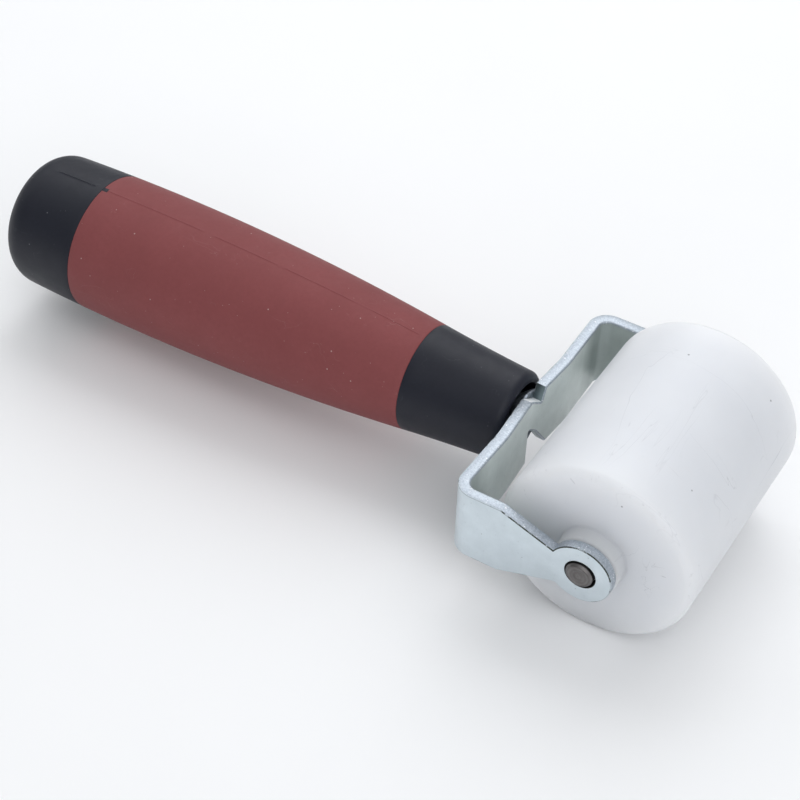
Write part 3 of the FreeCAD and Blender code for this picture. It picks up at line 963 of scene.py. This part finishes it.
def thicken_blank(mesh):
    """Give the flat blank the sheet's thickness, half of it on each side."""
    for face in mesh.faces:
        if face.normal.y < 0:
            face.normal_flip()
    grown = bmesh.ops.extrude_face_region(mesh, geom=mesh.faces[:])
    raised = [item for item in grown["geom"] if isinstance(item, bmesh.types.BMVert)]
    bmesh.ops.translate(mesh, verts=mesh.verts[:], vec=(0, -SHEET / 2, 0))
    bmesh.ops.translate(mesh, verts=raised, vec=(0, SHEET, 0))
    bmesh.ops.recalc_face_normals(mesh, faces=mesh.faces[:])


def part_faces(mesh, tip):
    """Give each face of the thick blank its slot: flat face, bore or sheared edge."""
    for face in mesh.faces:
        middle = face.calc_center_median()
        from_bore = math.hypot(abs(middle.x) - tip - BORE_SHIFT, middle.z - BORE_SHIFT)
        if abs(face.normal.y) > 0.9:
            face.material_index = FACE
        elif from_bore < BORE_RADIUS + BORE_CHAMFER:
            face.material_index = BORE
        else:
            face.material_index = EDGE


def part_details(mesh, taper):
    """Set apart the inner face (painted reflection), the torn burr (painted shade) and the notches'
    walls (painted shade, and a painted highlight on the upper notch's floor).
    """
    for face in mesh.faces:
        middle = face.calc_center_median()
        below_top = STRIP_TOP - middle.z
        upright = abs(face.normal.y) < 0.3
        if face.material_index == FACE and face.normal.y < 0:
            face.material_index = INSIDE
        elif face.material_index == BURR and middle.z > TORN_FROM and abs(middle.x) > taper:
            face.material_index = TORN
        elif face.material_index == EDGE and abs(middle.x) < NOTCH_REACH and upright:
            # walls facing the handle get painted shade, the upper notch's other faces a painted
            # highlight
            if face.normal.x < -0.3:
                face.material_index = SHADE
            elif 0.2 * MM < below_top < NOTCH_HEIGHT:
                face.material_index = NOTCH_HIGHLIGHT


def dress_rims(mesh):
    """Roll the inner rim of the sheared edge over and leave a fine burr on the outer rim."""

    def rim(sign, wall):
        """Edges between a flat face and a wall, on one side of the sheet."""
        return [
            edge
            for edge in mesh.edges
            if len(edge.link_faces) == 2
            and {face.material_index for face in edge.link_faces} == {FACE, wall}
            and all(vertex.co.y * sign > 0 for vertex in edge.verts)
        ]

    for sign, wall, width, segments, slot in (
        (-1, EDGE, INNER_ROLL, 4, EDGE),
        (1, EDGE, BURR_WIDTH, 2, BURR),
        (-1, BORE, BORE_CHAMFER, 1, BORE),
        (1, BORE, BORE_CHAMFER, 1, BORE),
    ):
        made = bmesh.ops.bevel(
            mesh,
            geom=rim(sign, wall),
            offset=width,
            offset_type="OFFSET",
            affect="EDGES",
            segments=segments,
            profile=0.5,
            material=-1,
            clamp_overlap=False,
        )
        for face in made["faces"]:
            face.material_index = slot


def make_yoke(materials):
    """Cut the blank flat, give it thickness, dress its edges and bend it."""
    mesh = bmesh.new()
    tip = arm_distance(0)
    taper = arm_distance(-TAPER_START)
    draw_blank(mesh, tip, taper)
    cut_blank(mesh)
    thicken_blank(mesh)
    part_faces(mesh, tip)
    dress_rims(mesh)
    part_details(mesh, taper)
    bend_strip(mesh)
    make_piece("yoke_bent_strip", mesh, "frame", materials, ["yoke"], smooth=40)


# ---------------------------------------------------------------- camera, floor and light

CAMERA_BEARING = math.radians(19.33)
CAMERA_HEIGHT = math.radians(44.65)
CAMERA_DISTANCE = 380.7 * MM
VIEW_BEARING = math.radians(30.10)
VIEW_HEIGHT = math.radians(43.16)
VIEW_ROLL = math.radians(2.03)
LENS = 85.31
SENSOR = 36.0
LAMP_DISTANCE = 0.9
LAMP_TINT = (0.97, 0.98, 1.0)
TENT_TINT = (0.94, 0.97, 1.0, 1)
TENT_STRENGTH = 0.28
FLOOR_REACH = 4


def direction(bearing, height):
    """Unit vector at a bearing from -Y towards +X and a height above level."""
    flat = math.cos(height)
    return Vector((math.sin(bearing) * flat, -math.cos(bearing) * flat, math.sin(height)))


def make_camera():
    lens = bpy.data.cameras.new("studio_camera")
    lens.lens = LENS
    lens.sensor_width = SENSOR
    lens.clip_start = 0.01
    lens.clip_end = 20
    camera = bpy.data.objects.new("studio_camera", lens)
    bpy.context.scene.collection.objects.link(camera)
    back = direction(VIEW_BEARING, VIEW_HEIGHT)
    right = (-back).cross(Vector((0, 0, 1))).normalized()
    up = right.cross(-back)
    across = math.cos(VIEW_ROLL) * right + math.sin(VIEW_ROLL) * up
    upward = math.cos(VIEW_ROLL) * up - math.sin(VIEW_ROLL) * right
    turn = Matrix((across, upward, back)).transposed().to_4x4()
    place = AXIS + direction(CAMERA_BEARING, CAMERA_HEIGHT) * CAMERA_DISTANCE
    camera.matrix_world = Matrix.Translation(place) @ turn
    bpy.context.scene.camera = camera


def make_floor():
    mesh = bmesh.new()
    bmesh.ops.create_grid(mesh, x_segments=2, y_segments=2, size=FLOOR_REACH)
    data = bpy.data.meshes.new("studio_floor")
    mesh.to_mesh(data)
    mesh.free()
    data.materials.append(floor_paper())
    floor = bpy.data.objects.new("studio_floor", data)
    bpy.context.scene.collection.objects.link(floor)


def make_softbox(name, bearing, height, side, power):
    """Square lamp aimed at the middle of the tool, from a bearing and height in degrees."""
    light = bpy.data.lights.new(name, "AREA")
    light.shape = "SQUARE"
    light.size = side
    light.energy = power
    light.color = LAMP_TINT
    lamp = bpy.data.objects.new(name, light)
    bpy.context.scene.collection.objects.link(lamp)
    aim = Vector((-60 * MM, 0, AXIS_HEIGHT))
    back = direction(math.radians(bearing), math.radians(height))
    facing = back.to_track_quat("Z", "Y").to_matrix().to_4x4()
    lamp.matrix_world = Matrix.Translation(aim + back * LAMP_DISTANCE) @ facing


def make_light():
    for name, bearing, height, side, power in (
        ("softbox_front_right", 50, 40, 0.8, 3.1),
        ("softbox_back", 180, 50, 0.8, 2.4),
        ("softbox_back_left", -145, 45, 0.8, 2.6),
        ("softbox_left", -95, 35, 0.6, 0.8),
        ("softbox_front", 0, 48, 0.8, 0.7),
        ("softbox_top", 0, 88, 0.9, 1.2),
    ):
        make_softbox(name, bearing, height, side, power)
    world = bpy.data.worlds.new("studio_tent")
    bpy.context.scene.world = world
    world.use_nodes = True
    tent = world.node_tree.nodes["Background"]
    tent.inputs["Color"].default_value = TENT_TINT
    tent.inputs["Strength"].default_value = TENT_STRENGTH
    bpy.context.scene.view_settings.view_transform = "Standard"


# ---------------------------------------------------------------- everything

black = black_rubber()
red = red_rubber()
make_roller(roller_plastic())
make_pin(pin_steel())
make_handle_core(black)
make_sleeve(red, black)
make_yoke(
    [
        zinc_face(),
        sheared_edge(),
        # burr rims carry painted shade, darker on the arms' torn burr
        burr_shade_line("yoke_burr_painted_shade", 0.52),
        bore_painted_shade(),
        zinc_inside_painted_reflection(),
        notch_wall_painted_shade(),
        notch_painted_highlight(),
        burr_shade_line("yoke_torn_burr_painted_shade", 0.36),
    ]
)
weld = weld_metal()
make_weld(weld)
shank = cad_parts["shank"].data
shank.materials.clear()
shank.materials.append(weld)
make_camera()
make_floor()
make_light()
